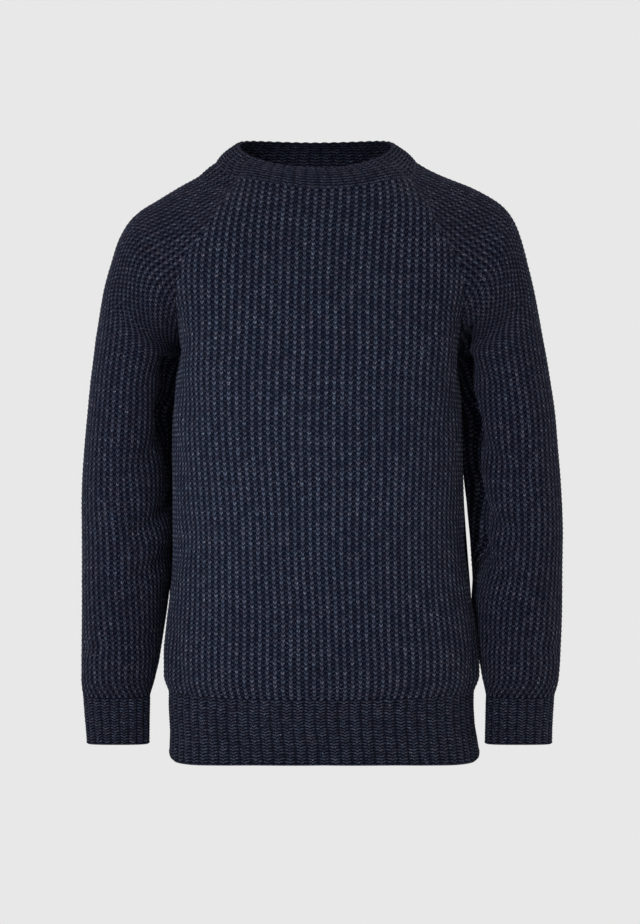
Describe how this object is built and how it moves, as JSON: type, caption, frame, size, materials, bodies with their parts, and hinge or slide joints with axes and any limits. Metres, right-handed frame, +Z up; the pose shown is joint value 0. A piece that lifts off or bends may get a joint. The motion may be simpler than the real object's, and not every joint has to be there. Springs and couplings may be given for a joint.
{
  "type": "raglan sweater",
  "caption": "Chunky half-cardigan rib crew-neck sweater with raglan sleeves and ribbed collar, hem and cuffs, hollow and filled out as when worn.",
  "frame": {"origin": "midway between the two points where the shoulders meet the collar, which is where a wearer holds it up", "axes": "+Z up, +X towards the wearer's left sleeve, the front faces -Y"},
  "size_m": [0.5539, 0.2455, 0.7085],
  "materials": {
    "half_cardigan_knit": "matte chunky navy wool in half-cardigan rib",
    "rib_knit": "matte navy wool in a firmer rib"
  },
  "bodies": {
    "root": {"front": "half_cardigan_knit", "back": "half_cardigan_knit", "sleeve_left": "half_cardigan_knit", "sleeve_right": "half_cardigan_knit", "collar": "rib_knit", "hem_rib_front": "rib_knit", "hem_rib_back": "rib_knit", "cuff_left": "rib_knit", "cuff_right": "rib_knit"}
  },
  "joints": []
}
